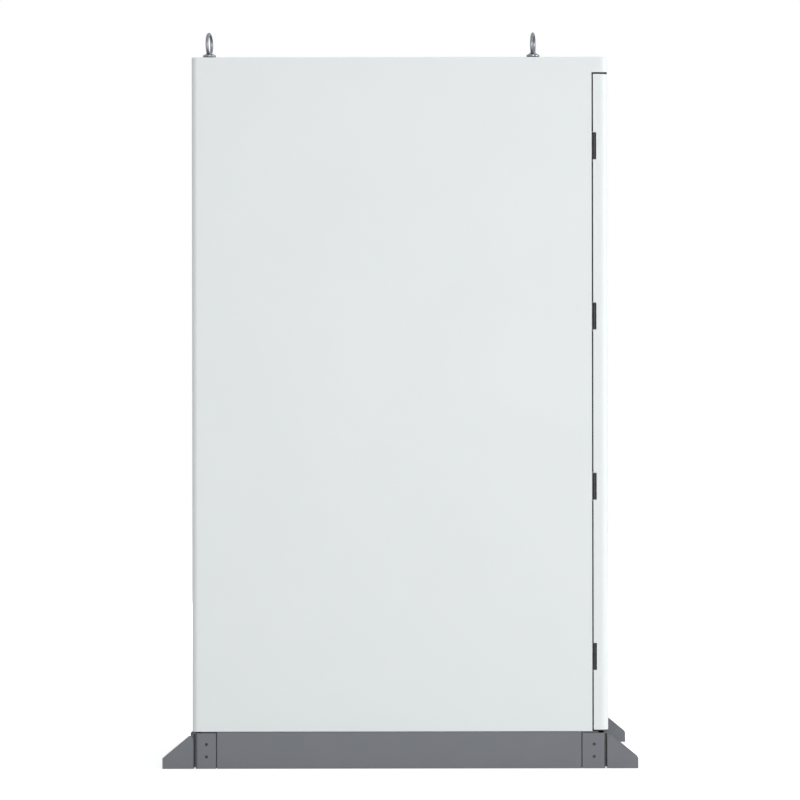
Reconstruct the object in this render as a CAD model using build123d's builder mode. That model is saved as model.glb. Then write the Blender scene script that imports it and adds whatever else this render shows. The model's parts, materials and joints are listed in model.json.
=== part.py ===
"""Free-standing outdoor battery cabinet: sheet-metal body on a plinth, one hinged door, battery rack inside.

The frame is Z up, with the origin on the floor under the middle of the cabinet. The door faces -Y and is
hinged on the -X side. All lengths are in millimetres.
"""

import os

from build123d import *

os.makedirs("parts", exist_ok=True)

# ---- overall -------------------------------------------------------------------------------------------
width = 900.0
depth = 1170.0  # door face to rear face
height = 2000.0  # floor to roof
sheet = 2.0  # body and door sheet
clearance = 0.5  # between pieces that pass or slide beside each other

# ---- door and body openings ----------------------------------------------------------------------------
door_thickness = 41.0
door_rear_gap = 4.0
door_head_gap = 5.0
door_sill_gap = 4.5
door_corner_radius = 22.0
rear_corner_radius = 15.0
header_height = 43.0
panel_wrap = 45.0  # how far a side panel runs round its corner
frame_return = 30.0  # inward fold that the door seal lands on

# ---- plinth --------------------------------------------------------------------------------------------
plinth_height = 100.0
plinth_inset = 9.0  # from the body's front and rear faces
plinth_gap = 4.5  # shadow gap under the body
plinth_plate = 4.0
plinth_bend_radius = 8.0
front_corner_leg = 64.0
rear_corner_leg = 58.0
cross_corner_leg = 62.0
trim_plate = 2.5
trim_joint = 3.0
corner_hole_radius = 4.25
corner_hole_pitch = 35.0
corner_hole_height = 51.0  # middle of the pair
corner_hole_setback = 31.0  # from the corner's outer face

# ---- floor brackets ------------------------------------------------------------------------------------
bracket_flange = 6.0
bracket_reach = 93.0  # from the plinth's face to the bracket's nose
bracket_width = 52.0
bracket_cheek = 4.0
bracket_base = 6.0
bracket_nose_height = 30.0
bracket_top_height = 88.0
bracket_top_length = 17.0
anchor_hole_radius = 7.0
anchor_hole_from_nose = 32.0
bracket_bolt_radius = 4.0

# ---- lifting eyebolts ----------------------------------------------------------------------------------
eyebolt_ring_radius = 27.5  # middle of the wire
eyebolt_wire_radius = 7.0
eyebolt_height = 76.0
eyebolt_collar_radius = 18.5
eyebolt_collar_height = 12.0
eyebolt_shank_radius = 10.0
eyebolt_shank_length = 30.0
eyebolt_side_inset = 47.0
eyebolt_rear_inset = 47.0
eyebolt_front_inset = 209.0

# ---- frame, floor and lining ---------------------------------------------------------------------------
post = 30.0
post_wall = 2.5
rail_height = 36.0
frame_inset = 5.0  # inside the side panels
floor_plate_thickness = 3.0
gland_plate_size = (260.0, 90.0)
gland_radius = 16.0
gland_pitch = 60.0
gland_count = 4
insulation = 20.0
seal_width = 12.0

# ---- hinges --------------------------------------------------------------------------------------------
hinge_count = 4
hinge_length = 74.0
hinge_knuckle_radius = 4.5
hinge_pin_radius = 2.5
hinge_side_inset = 4.5  # knuckle axis inside the side face
hinge_front_setback = 38.0  # knuckle axis behind the door face
hinge_pitch = 478.5
hinge_top_drop = 250.0  # roof to the middle of the top hinge
hinge_leaf = 2.5
hinge_leaf_length = 24.0

# ---- door handle and lock ------------------------------------------------------------------------------
handle_height = 1050.0
handle_side_inset = 80.0
handle_base_size = (34.0, 170.0)
handle_base_thickness = 4.0
lever_size = (24.0, 132.0)
lever_thickness = 15.0
spindle_radius = 7.0
lock_case_size = (48.0, 42.0, 90.0)
rod_width = 8.0
rod_thickness = 5.0
rod_offset = 10.0  # either side of the spindle
rod_travel = 12.0
rod_stop_gap = 4.0

# ---- cooling unit in the door --------------------------------------------------------------------------
cooler_size = (430.0, 165.0, 760.0)
cooler_drop = 670.0  # roof to the middle of the unit
cooler_wall = 2.0
louvre_border = 26.0
louvre_pitch = 22.0
louvre_blade = 2.0
louvre_depth = 10.0
fan_radius = 140.0
fan_hub_radius = 46.0
fan_depth = 34.0
fan_blades = 7
fan_tip_gap = 5.0

# ---- battery rack --------------------------------------------------------------------------------------
rack_side_space = 130.0
rack_door_space = 184.0
rack_rear_space = 125.0
rack_head_space = 120.0
rack_hole = 9.5
rack_hole_pitch = 44.45
rack_angle = 40.0
rack_sheet = 3.0
module_height = 168.0
module_pitch = 192.0
module_base = 160.0
control_space = 300.0  # kept free above the modules
module_fascia = 6.0
terminal_radius = 11.0
terminal_length = 26.0
terminal_inset = 60.0
jumper_radius = 6.0
control_height = 150.0
isolator_radius = 24.0
isolator_length = 22.0
breaker_size = (72.0, 40.0, 90.0)
toggle_size = (10.0, 16.0, 14.0)
button_radius = 8.0
button_travel = 3.0

# ---- places worked out from the sizes ------------------------------------------------------------------
x_side = width / 2
y_front = -depth / 2
y_rear = depth / 2
y_door_back = y_front + door_thickness
y_body = y_door_back + door_rear_gap
z_body = plinth_height + plinth_gap
z_head = height - header_height
z_door_top = z_head - door_head_gap
z_door_bottom = z_body + door_sill_gap
z_roof_under = height - sheet
door_height = z_door_top - z_door_bottom
z_door_middle = (z_door_top + z_door_bottom) / 2
y_plinth_front = y_front + plinth_inset
y_plinth_rear = y_rear - plinth_inset
hinge_x = -x_side + hinge_side_inset
hinge_y = y_front + hinge_front_setback
hinge_heights = [height - hinge_top_drop - i * hinge_pitch for i in range(hinge_count)]
eyebolt_places = [
    (sx * (x_side - eyebolt_side_inset), y)
    for sx in (-1, 1)
    for y in (y_front + eyebolt_front_inset, y_rear - eyebolt_rear_inset)
]
inner_x = x_side - sheet - frame_inset  # outer face of the frame
inner_front = y_body + sheet
inner_rear = y_rear - sheet - frame_inset
cooler_middle = height - cooler_drop
opening_x = x_side - 40
opening_bottom = z_body + 45.5
opening_top = height - 75
rack_width = width - 2 * rack_side_space
rack_front = y_door_back + rack_door_space
rack_length = y_rear - rack_rear_space - rack_front
rack_top = height - rack_head_space
module_count = int((height - control_space - module_base) // module_pitch)
module_size = (rack_width - 80, rack_length - 40, module_height)


def keep(piece, name):
    """Labels one finished piece and writes its STEP file."""
    piece.part.label = name
    export_step(piece.part, f"parts/{name}.step")


# ==== plinth ============================================================================================
ends = [(sx, sy) for sx in (-1, 1) for sy in (-1, 1)]
hole_heights = [corner_hole_height + side * corner_hole_pitch / 2 for side in (-1, 1)]

with BuildPart() as plinth_corners:
    for sx, sy in ends:
        x_out = sx * x_side
        y_out = sy * y_plinth_rear
        side_leg = front_corner_leg if sy < 0 else rear_corner_leg
        with BuildSketch():
            with BuildLine():
                FilletPolyline(
                    (x_out - sx * cross_corner_leg, y_out),
                    (x_out, y_out),
                    (x_out, y_out - sy * side_leg),
                    radius=plinth_bend_radius,
                )
                offset(amount=plinth_plate, side=Side.RIGHT if sx * sy > 0 else Side.LEFT)
            make_face()
        extrude(amount=plinth_height)
        for z in hole_heights:
            with Locations(Location((x_out, y_out - sy * corner_hole_setback, z), (0, 90, 0))):
                Cylinder(corner_hole_radius, 4 * plinth_plate, mode=Mode.SUBTRACT)
            with Locations(Location((x_out - sx * bracket_width / 2, y_out, z), (90, 0, 0))):
                Cylinder(corner_hole_radius, 4 * plinth_plate, mode=Mode.SUBTRACT)
keep(plinth_corners, "plinth_corners")

trim_height = z_body - 1.5
trim_fold = 18.0
trim_side_length = depth - 2 * plinth_inset - front_corner_leg - rear_corner_leg - 2 * trim_joint
trim_side_middle = (front_corner_leg - rear_corner_leg) / 2
trim_cross_length = width - 2 * (cross_corner_leg + trim_joint)
trims = (
    (trim_side_length, -x_side, trim_side_middle, -90),
    (trim_side_length, x_side, trim_side_middle, 90),
    (trim_cross_length, 0, y_plinth_front, 0),
    (trim_cross_length, 0, y_plinth_rear, 180),
)

with BuildPart() as plinth_trims:
    for length, x, y, turn in trims:
        # a channel between two corners, its face outwards
        with BuildSketch(Plane(origin=(x, y, 0)).rotated((0, 0, turn)) * Plane.YZ):
            with BuildLine():
                Polyline((trim_fold, 0), (0, 0), (0, trim_height), (trim_fold, trim_height))
                offset(amount=trim_plate, side=Side.RIGHT)
            make_face()
        extrude(amount=length / 2, both=True)
keep(plinth_trims, "plinth_trims")

# ==== floor brackets ====================================================================================
flange_set_in = 3.0
flange_foot = 5.0
cheek_middle = bracket_width / 2 - bracket_cheek / 2
with BuildPart() as floor_brackets:
    for sx, sy in ends:
        x_mid = sx * (x_side - bracket_width / 2)
        y_wall = sy * y_plinth_rear
        y_cheek = y_wall + sy * bracket_flange
        y_nose = y_wall + sy * bracket_reach
        with Locations((x_mid, (y_wall + y_cheek) / 2, flange_foot)):
            Box(
                bracket_width - 2 * flange_set_in,
                bracket_flange,
                plinth_height - flange_foot,
                align=(Align.CENTER, Align.CENTER, Align.MIN),
            )
        for side in (-cheek_middle, cheek_middle):
            with BuildSketch(Plane.YZ.offset(x_mid + side)) as outline:
                with BuildLine():
                    Polyline(
                        (y_cheek, 0),
                        (y_nose, 0),
                        (y_nose, bracket_nose_height),
                        (y_cheek + sy * bracket_top_length, bracket_top_height),
                        (y_cheek, bracket_top_height),
                        close=True,
                    )
                make_face()
                nose = outline.vertices().sort_by_distance((x_mid + side, y_nose, bracket_nose_height))[0]
                fillet(nose, radius=6)
            extrude(amount=bracket_cheek / 2, both=True)
        with Locations((x_mid, (y_cheek + y_nose) / 2, 0)):
            Box(
                bracket_width - 2 * bracket_cheek,
                abs(y_nose - y_cheek),
                bracket_base,
                align=(Align.CENTER, Align.CENTER, Align.MIN),
            )
        with Locations((x_mid, y_nose - sy * anchor_hole_from_nose, bracket_base / 2)):
            Cylinder(anchor_hole_radius, 4 * bracket_base, mode=Mode.SUBTRACT)
        with Locations(*[Location((x_mid, y_wall, z), (90, 0, 0)) for z in hole_heights]):
            Cylinder(corner_hole_radius, 4 * bracket_flange, mode=Mode.SUBTRACT)
keep(floor_brackets, "floor_brackets")

bolt_head_radius = 7.5
bolt_head_height = 5.5
bolt_shank_length = bracket_flange + plinth_plate + 10
with BuildPart() as bracket_bolts:
    for sx, sy in ends:
        for z in hole_heights:
            bolt_plane = Plane(
                origin=(sx * (x_side - bracket_width / 2), sy * (y_plinth_rear + bracket_flange), z),
                z_dir=(0, sy, 0),
            )
            with BuildSketch(bolt_plane):
                RegularPolygon(bolt_head_radius, 6)
            extrude(amount=bolt_head_height)
            with BuildSketch(bolt_plane):
                Circle(bracket_bolt_radius)
            extrude(amount=-bolt_shank_length)
keep(bracket_bolts, "bracket_bolts")

# ==== plinth frame ======================================================================================
ring_x = x_side - trim_fold - clearance
ring_y = y_plinth_rear - trim_fold - clearance
ring_tube = 40.0
lug = 14.0
with BuildPart() as plinth_frame:
    with BuildSketch():
        Rectangle(2 * ring_x, 2 * ring_y)
        Rectangle(2 * (ring_x - ring_tube), 2 * (ring_y - ring_tube), mode=Mode.SUBTRACT)
    extrude(amount=z_body)
    for sx, sy in ends:
        with Locations((sx * (x_side - plinth_plate + ring_x) / 2, sy * (y_plinth_rear - 48), 50)):
            Box(x_side - plinth_plate - ring_x, lug, 60)
        with Locations((sx * (x_side - 54), sy * (y_plinth_rear - plinth_plate + ring_y) / 2, 50)):
            Box(lug - 2, y_plinth_rear - plinth_plate - ring_y, 60)
keep(plinth_frame, "plinth_frame")


# ==== body sheet metal ==================================================================================
def body_plan(inset):
    """Plan of the body behind the door, moved inwards and rounded at the rear corners."""
    with BuildSketch() as plan:
        with Locations((0, (y_body + y_rear) / 2)):
            Rectangle(width - 2 * inset, y_rear - y_body - 2 * inset)
        fillet(plan.vertices().group_by(Axis.Y)[-1], rear_corner_radius - inset)
    return plan.sketch


def front_plan(inset, y_back):
    """Plan of the door or header, moved inwards and rounded at the front corners."""
    with BuildSketch() as plan:
        with Locations((0, (y_front + inset + y_back) / 2)):
            Rectangle(width - 2 * inset, y_back - y_front - inset)
        fillet(plan.vertices().group_by(Axis.Y)[0], door_corner_radius - inset)
    return plan.sketch


def side_panel(name, sx):
    """Side wall, folded in at the front and wrapped round the rear corner."""
    with BuildPart() as panel:
        extrude(Plane.XY.offset(z_body) * (body_plan(0) - body_plan(sheet)), amount=height - z_body)
        with Locations((-sx * panel_wrap, 0, height / 2)):
            Box(width, 2 * depth, 2 * height, mode=Mode.SUBTRACT)
        with Locations((0, y_body, height / 2)):
            Box(2 * (x_side - frame_return), 4 * sheet, 2 * height, mode=Mode.SUBTRACT)
    keep(panel, name)


side_panel("side_panel_left", -1)
side_panel("side_panel_right", 1)

with BuildPart() as rear_panel:
    with Locations((0, y_rear - sheet / 2, (z_body + height) / 2)):
        Box(width - 2 * panel_wrap, sheet, height - z_body)
keep(rear_panel, "rear_panel")

boss_radius = 24.0
boss_height = 3.0
shank_clearance = 0.1
with BuildPart() as roof_panel:
    extrude(Plane.XY.offset(z_roof_under) * body_plan(sheet), amount=sheet)
    with Locations(*[(x, y, height) for x, y in eyebolt_places]):
        Cylinder(boss_radius, boss_height, align=(Align.CENTER, Align.CENTER, Align.MIN))
    with Locations(*[(x, y, height) for x, y in eyebolt_places]):
        Cylinder(eyebolt_shank_radius + shank_clearance, 4 * boss_height, mode=Mode.SUBTRACT)
keep(roof_panel, "roof_panel")

with BuildPart() as header:
    extrude(Plane.XY.offset(z_head) * front_plan(0, y_body), amount=header_height)
    extrude(
        Plane.XY.offset(z_head + sheet) * front_plan(sheet, y_body),
        amount=header_height - 2 * sheet,
        mode=Mode.SUBTRACT,
    )
keep(header, "header")

opening_middle = (opening_bottom + opening_top) / 2
opening_height = opening_top - opening_bottom
lip_reach = 16.0


def ring(y_from, y_to, outside, inside):
    """Upright rectangular ring round the door opening, measured out from the opening's edge."""
    with Locations((0, (y_from + y_to) / 2, opening_middle)):
        Box(2 * (opening_x + outside), y_to - y_from, opening_height + 2 * outside)
        Box(2 * (opening_x + inside), y_to - y_from, opening_height + 2 * inside, mode=Mode.SUBTRACT)


with BuildPart() as front_frame:
    with Locations((0, y_body + sheet / 2, (z_body + height) / 2)):
        Box(2 * (x_side - frame_return), sheet, height - z_body)
    with Locations((0, y_body - (lip_reach - sheet) / 2, opening_middle)):
        Box(2 * (opening_x + sheet), lip_reach + sheet, opening_height + 2 * sheet)
    with Locations((0, y_body, opening_middle)):
        Box(2 * opening_x, 4 * lip_reach, opening_height, mode=Mode.SUBTRACT)
keep(front_frame, "front_frame")

gland_y = y_rear - 165
gland_places = [((i - (gland_count - 1) / 2) * gland_pitch, gland_y) for i in range(gland_count)]
with BuildPart() as floor_plate:
    extrude(Plane.XY.offset(z_body) * body_plan(sheet), amount=floor_plate_thickness)
    with Locations((0, gland_y, z_body)):
        Box(*gland_plate_size, 4 * floor_plate_thickness, mode=Mode.SUBTRACT)
keep(floor_plate, "floor_plate")

z_floor = z_body + floor_plate_thickness
gland_plate_border = 20.0
with BuildPart() as gland_plate:
    with Locations((0, gland_y, z_floor + floor_plate_thickness / 2)):
        Box(
            gland_plate_size[0] + 2 * gland_plate_border,
            gland_plate_size[1] + 2 * gland_plate_border,
            floor_plate_thickness,
        )
    with Locations(*[(x, y, z_floor) for x, y in gland_places]):
        Cylinder(gland_radius, 6 * floor_plate_thickness, mode=Mode.SUBTRACT)
keep(gland_plate, "gland_plate")

gland_nut_radius = 22.0
gland_bore = 10.0
with BuildPart() as cable_glands:
    for x, y in gland_places:
        with Locations((x, y, z_floor + floor_plate_thickness / 2)):
            Cylinder(gland_radius - shank_clearance, 44)
        with BuildSketch(Plane.XY.offset(z_floor + floor_plate_thickness)):
            with Locations((x, y)):
                RegularPolygon(gland_nut_radius, 6)
        extrude(amount=9)
        with BuildSketch(Plane.XY.offset(z_floor)):
            with Locations((x, y)):
                RegularPolygon(gland_nut_radius, 6)
        extrude(amount=-12)
        with Locations((x, y, z_floor)):
            Cylinder(gland_bore, 100, mode=Mode.SUBTRACT)
keep(cable_glands, "cable_glands")

# ==== inner frame =======================================================================================
lifting_bar = (60.0, 23.0)
z_bar = z_roof_under - lifting_bar[1]
with BuildPart() as frame_posts:
    for sx in (-1, 1):
        for y in (inner_front + post / 2, inner_rear - post / 2):
            with Locations((sx * (inner_x - post / 2), y, (z_floor + z_bar) / 2)):
                Box(post, post, z_bar - z_floor)
                Box(post - 2 * post_wall, post - 2 * post_wall, z_bar - z_floor, mode=Mode.SUBTRACT)
keep(frame_posts, "frame_posts")

with BuildPart() as lifting_bars:
    for sx in (-1, 1):
        with Locations((sx * (inner_x - lifting_bar[0] / 2), (inner_front + inner_rear) / 2, z_bar)):
            Box(
                lifting_bar[0],
                inner_rear - inner_front,
                lifting_bar[1],
                align=(Align.CENTER, Align.CENTER, Align.MIN),
            )
    with Locations(*[(x, y, height) for x, y in eyebolt_places]):
        Cylinder(eyebolt_shank_radius + shank_clearance, 120, mode=Mode.SUBTRACT)
keep(lifting_bars, "lifting_bars")

with BuildPart() as frame_cross_rails:
    rail_length = 2 * (inner_x - lifting_bar[0])
    for y in (inner_front + post / 2, inner_rear - post / 2):
        with Locations((0, y, z_bar)):
            Box(rail_length, post, lifting_bar[1], align=(Align.CENTER, Align.CENTER, Align.MIN))
keep(frame_cross_rails, "frame_cross_rails")

with BuildPart() as eyebolts:
    ring_height = height + eyebolt_height - eyebolt_ring_radius - eyebolt_wire_radius
    for x, y in eyebolt_places:
        with BuildSketch(Plane.YZ.offset(x)):
            with Locations((y, ring_height + eyebolt_ring_radius)):
                RegularPolygon(eyebolt_wire_radius, 8, rotation=22.5)
        revolve(axis=Axis((x, y, ring_height), (0, 1, 0)), revolution_arc=360)
        with Locations((x, y, height + boss_height)):
            Cylinder(
                eyebolt_collar_radius,
                eyebolt_collar_height,
                align=(Align.CENTER, Align.CENTER, Align.MIN),
            )
        with Locations((x, y, height + boss_height)):
            Cylinder(
                eyebolt_shank_radius,
                eyebolt_shank_length,
                align=(Align.CENTER, Align.CENTER, Align.MAX),
            )
keep(eyebolts, "eyebolts")

with BuildPart() as body_insulation:
    board_bottom = z_floor + 15
    board_top = z_bar - 5
    board_front = inner_front + post + 5
    board_rear = inner_rear - post - 5
    for sx in (-1, 1):
        with Locations((
            sx * (x_side - sheet - insulation / 2),
            (board_front + board_rear) / 2,
            (board_bottom + board_top) / 2,
        )):
            Box(insulation, board_rear - board_front, board_top - board_bottom)
    with Locations((0, y_rear - sheet - insulation / 2, (board_bottom + board_top) / 2)):
        Box(2 * (inner_x - post - 5), insulation, board_top - board_bottom)
    with Locations((0, (board_front + board_rear) / 2, z_roof_under - insulation / 2)):
        Box(rail_length - 10, board_rear - board_front, insulation)
keep(body_insulation, "body_insulation")

# ==== door ==============================================================================================
door_return = 18.0
hinge_notch = 2 * hinge_side_inset + 0.6
notch_slack = 1.0
louvre_x = cooler_size[0] / 2 - 25
louvre_z = cooler_size[2] / 2 - 25
handle_x = x_side - handle_side_inset
running = 0.05
with BuildPart() as door_shell:
    extrude(Plane.XY.offset(z_door_bottom) * front_plan(0, y_door_back), amount=door_height)
    extrude(
        Plane.XY.offset(z_door_bottom + sheet) * front_plan(sheet, y_door_back - sheet),
        amount=door_height - 2 * sheet,
        mode=Mode.SUBTRACT,
    )
    with Locations((0, y_door_back, z_door_middle)):
        Box(width - 2 * door_return, 4 * sheet, door_height - 2 * door_return, mode=Mode.SUBTRACT)
    for z in hinge_heights:
        with Locations((-x_side, y_door_back, z)):
            Box(2 * hinge_notch, 18, hinge_length + 2 * notch_slack, mode=Mode.SUBTRACT)
    with Locations((0, y_front, cooler_middle)):
        Box(2 * louvre_x, 6 * sheet, 2 * louvre_z, mode=Mode.SUBTRACT)
    with Locations(Location((handle_x, y_front, handle_height), (90, 0, 0))):
        Cylinder(spindle_radius + clearance, 6 * sheet, mode=Mode.SUBTRACT)
keep(door_shell, "door_shell")

y_skin = y_front + sheet
y_stiffener = y_skin + 15
stiffener_half = 15.0
bar_heights = (cooler_middle - cooler_size[2] / 2 - 50, cooler_middle + cooler_size[2] / 2 + 50)
with BuildPart() as door_stiffener:
    ring(y_skin, y_stiffener, stiffener_half + 1, 1 - stiffener_half)
    for z in bar_heights:
        with Locations((0, (y_skin + y_stiffener) / 2, z)):
            Box(2 * (opening_x + 2 - stiffener_half), y_stiffener - y_skin, 30)
keep(door_stiffener, "door_stiffener")

seal_gap = 0.3
with BuildPart() as door_gasket:
    ring(y_stiffener, y_body - lip_reach - seal_gap, 1 + seal_width / 2, 1 - seal_width / 2)
keep(door_gasket, "door_gasket")

with BuildPart() as door_insulation:
    board_x = opening_x - stiffener_half - 4
    spans = (
        (opening_bottom + stiffener_half + 4, bar_heights[0] - 19),
        (bar_heights[1] + 19, opening_top - stiffener_half - 4),
    )
    for low, high in spans:
        with Locations((0, (y_skin + y_stiffener) / 2, (low + high) / 2)):
            Box(2 * board_x, y_stiffener - y_skin, high - low)
keep(door_insulation, "door_insulation")

# ==== hinges ============================================================================================
knuckle = hinge_length / 3
knuckle_gap = 0.3
hinge_links = []
with BuildPart() as hinge_leaves_body:
    for z in hinge_heights:
        for end in (-1, 1):
            with Locations((hinge_x, hinge_y, z + end * knuckle)):
                Cylinder(hinge_knuckle_radius, knuckle - knuckle_gap)
                with Locations((0, (y_body - hinge_y) / 2, 0)):
                    Box(3, y_body - hinge_y, knuckle - knuckle_gap)
        with Locations((hinge_x - 1.5, y_body, z)):
            Box(
                hinge_leaf_length,
                hinge_leaf,
                hinge_length - knuckle_gap,
                align=(Align.MIN, Align.MAX, Align.CENTER),
            )
    with Locations(*[(hinge_x, hinge_y, z) for z in hinge_heights]):
        Cylinder(hinge_pin_radius, 2 * hinge_length, mode=Mode.SUBTRACT)
        Box(2 * hinge_knuckle_radius + 1, 2 * hinge_knuckle_radius + 1, knuckle + knuckle_gap, mode=Mode.SUBTRACT)
keep(hinge_leaves_body, "hinge_leaves_body")

with BuildPart() as hinge_leaves_door:
    for z in hinge_heights:
        with Locations((hinge_x, hinge_y, z)):
            Cylinder(hinge_knuckle_radius, knuckle - knuckle_gap)
        with Locations((hinge_x, y_door_back - sheet, z)):
            Box(hinge_leaf_length, 3, knuckle - knuckle_gap, align=(Align.MIN, Align.MAX, Align.CENTER))
    with Locations(*[(hinge_x, hinge_y, z) for z in hinge_heights]):
        Cylinder(hinge_pin_radius + running, 2 * hinge_length, mode=Mode.SUBTRACT)
keep(hinge_leaves_door, "hinge_leaves_door")

with BuildPart() as hinge_pins:
    with Locations(*[(hinge_x, hinge_y, z) for z in hinge_heights]):
        Cylinder(hinge_pin_radius, hinge_length)
keep(hinge_pins, "hinge_pins")

# ==== handle, lock and rods =============================================================================
facing_y = Location((0, 0, 0), (90, 0, 0))


def bar_y(x, z, radius, y_from, y_to, mode=Mode.ADD):
    """Round bar along Y."""
    with Locations(Location((x, (y_from + y_to) / 2, z), (90, 0, 0))):
        Cylinder(radius, abs(y_to - y_from), mode=mode)


y_lock = y_skin + lock_case_size[1]
with BuildPart() as lock_case:
    with Locations((handle_x, y_skin + lock_case_size[1] / 2, handle_height)):
        Box(*lock_case_size)
    bar_y(handle_x, handle_height, spindle_radius + running, y_front - 20, y_lock + 20, Mode.SUBTRACT)
keep(lock_case, "lock_case")

y_base = y_front - handle_base_thickness
with BuildPart() as handle_base:
    with BuildSketch(Plane.XZ.offset(-y_front)):
        with Locations((handle_x, handle_height - 44)):
            RectangleRounded(*handle_base_size, 12)
    extrude(amount=handle_base_thickness)
    bar_y(handle_x, handle_height, spindle_radius + running, y_front - 20, y_front + 20, Mode.SUBTRACT)
keep(handle_base, "handle_base")

pin_circle = rod_travel / 2 / 0.70711
drive_pin_radius = 2.5
drive_slack = 0.6
y_cam = y_lock + 0.5
y_rod = y_cam + 4 + 1.0
y_rod_back = y_rod + rod_thickness
lever_gap = 0.3
with BuildPart() as door_lever:
    with BuildSketch(Plane.XZ.offset(-(y_base - lever_gap))):
        with Locations((handle_x, handle_height)):
            Circle(lever_size[0] / 2 + 2)
        with BuildLine():
            half = lever_size[0] / 2
            tip = handle_height - lever_size[1]
            Polyline(
                (handle_x - half, handle_height),
                (handle_x + half, handle_height),
                (handle_x + half - 4, handle_height - lever_size[1] / 2),
                (handle_x + half, tip),
                (handle_x - half, tip),
                (handle_x - half + 4, handle_height - lever_size[1] / 2),
                close=True,
            )
        make_face()
    extrude(amount=lever_thickness)
    chamfer(door_lever.faces().sort_by(Axis.Y)[0].edges(), length=3)
    bar_y(handle_x, handle_height, spindle_radius, y_base - lever_gap - 5, y_cam)
    bar_y(handle_x, handle_height, pin_circle + 4.5, y_cam, y_cam + 4)
    for side in (-1, 1):
        bar_y(
            handle_x + side * rod_travel / 2,
            handle_height + side * rod_travel / 2,
            drive_pin_radius,
            y_cam + 2,
            y_rod_back - 0.5,
        )
keep(door_lever, "door_lever")


def lock_rod(name, side, z_end):
    """Flat lock rod with a slotted foot over the lever's drive pin."""
    x_rod = handle_x + side * rod_offset
    z_foot = handle_height + side * rod_travel / 2
    with BuildPart() as rod:
        with Locations((x_rod, y_rod + rod_thickness / 2, (z_foot + z_end) / 2)):
            Box(rod_width, rod_thickness, abs(z_end - z_foot))
        with Locations((handle_x + side * 7.5, y_rod + rod_thickness / 2, z_foot)):
            Box(13, rod_thickness, 2 * drive_pin_radius + 12)
        with Locations((handle_x + side * 7.25, y_rod + rod_thickness / 2, z_foot)):
            Box(9, 2 * rod_thickness, 2 * (drive_pin_radius + drive_slack), mode=Mode.SUBTRACT)
    keep(rod, name)


z_rod_top = opening_top + rod_travel - rod_stop_gap
z_rod_bottom = opening_bottom - rod_travel + rod_stop_gap
lock_rod("lock_rod_upper", 1, z_rod_top)
lock_rod("lock_rod_lower", -1, z_rod_bottom)

guide_slack = 0.3
guide_ends = ((1, handle_height + 130, z_rod_top - 43), (-1, handle_height - 130, z_rod_bottom + 38))
with BuildPart() as rod_guides:
    x_block = opening_x - 7
    for side, near, far in guide_ends:
        x_rod = handle_x + side * rod_offset
        for z in (near, (near + far) / 2, far):
            with Locations((x_block, y_stiffener, z)):
                Box(
                    x_block - x_rod + 9,
                    y_rod_back + 3 - y_stiffener,
                    12,
                    align=(Align.MAX, Align.MIN, Align.CENTER),
                )
            with Locations((x_rod, y_rod + rod_thickness / 2, z)):
                Box(
                    rod_width + 2 * guide_slack,
                    rod_thickness + 2 * guide_slack,
                    40,
                    mode=Mode.SUBTRACT,
                )
keep(rod_guides, "rod_guides")

# ==== door cooling unit =================================================================================
y_cooler = y_skin + cooler_size[1]
cooler_x = cooler_size[0] / 2
z_low = cooler_middle - cooler_size[2] / 2
z_high = cooler_middle + cooler_size[2] / 2
fan_drop = cooler_size[2] / 4
guard_bar = 4.0
guard_radii = (104.0, 56.0)
guard_spokes = 3
with BuildPart() as cooler_case:
    with Locations((0, (y_skin + y_cooler) / 2, cooler_middle)):
        Box(*cooler_size)
    for low, high in (
        (z_low + cooler_wall, cooler_middle - cooler_wall / 2),
        (cooler_middle + cooler_wall / 2, z_high - cooler_wall),
    ):
        with Locations((0, y_skin, (low + high) / 2)):
            Box(
                cooler_size[0] - 2 * cooler_wall,
                cooler_size[1] - cooler_wall,
                high - low,
                align=(Align.CENTER, Align.MIN, Align.CENTER),
                mode=Mode.SUBTRACT,
            )
    bar_y(0, cooler_middle + fan_drop, fan_radius + fan_tip_gap, y_cooler - 10, y_cooler + 10, Mode.SUBTRACT)
    with BuildSketch(Plane.XZ.offset(-y_cooler)):
        with Locations((0, cooler_middle + fan_drop)):
            for guard_radius in guard_radii:
                Circle(guard_radius)
                Circle(guard_radius - guard_bar, mode=Mode.SUBTRACT)
            Circle(guard_radii[-1] - 1)
            with PolarLocations(0, guard_spokes):
                Rectangle(2 * (fan_radius + fan_tip_gap + 3), guard_bar)
    extrude(amount=cooler_wall)
keep(cooler_case, "cooler_case")

with BuildPart() as louvre_panel:
    with Locations((0, y_front - 2, cooler_middle)):
        Box(2 * louvre_x + 30, 4, 2 * louvre_z + 30)
        Box(2 * (louvre_x - 12), 4, 2 * (louvre_z - 12), mode=Mode.SUBTRACT)
    blade_count = int(2 * (louvre_z - 12) // louvre_pitch)
    for i in range(blade_count):
        z = cooler_middle + (i - (blade_count - 1) / 2) * louvre_pitch
        with Locations(Location((0, y_front - 1, z), (-40, 0, 0))):
            Box(2 * louvre_x - 23, louvre_depth, louvre_blade)
    with Locations((0, y_front - 1, cooler_middle)):
        Box(6, 6, 2 * (louvre_z - 11))
    with Locations((0, y_front - 54, cooler_middle)):
        Box(3 * louvre_x, 100, 3 * louvre_z, mode=Mode.SUBTRACT)
keep(louvre_panel, "louvre_panel")

fin_pitch = 11.0
fin_count = 34
with BuildPart() as cooler_coils:
    coil_height = cooler_size[2] / 2 - 1.5 * cooler_wall
    with Locations((0, y_skin + 28, z_low + cooler_wall + coil_height / 2)):
        Box(cooler_size[0] - 60, 14, coil_height)
        with GridLocations(fin_pitch, 0, fin_count, 1):
            Box(3, 26, coil_height)
    with Locations((85, y_skin + 40, z_high - cooler_wall - coil_height / 2)):
        Box(200, 30, coil_height)
        with GridLocations(fin_pitch, 0, fin_count // 2, 1):
            Box(3, 50, coil_height)
keep(cooler_coils, "cooler_coils")

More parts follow.
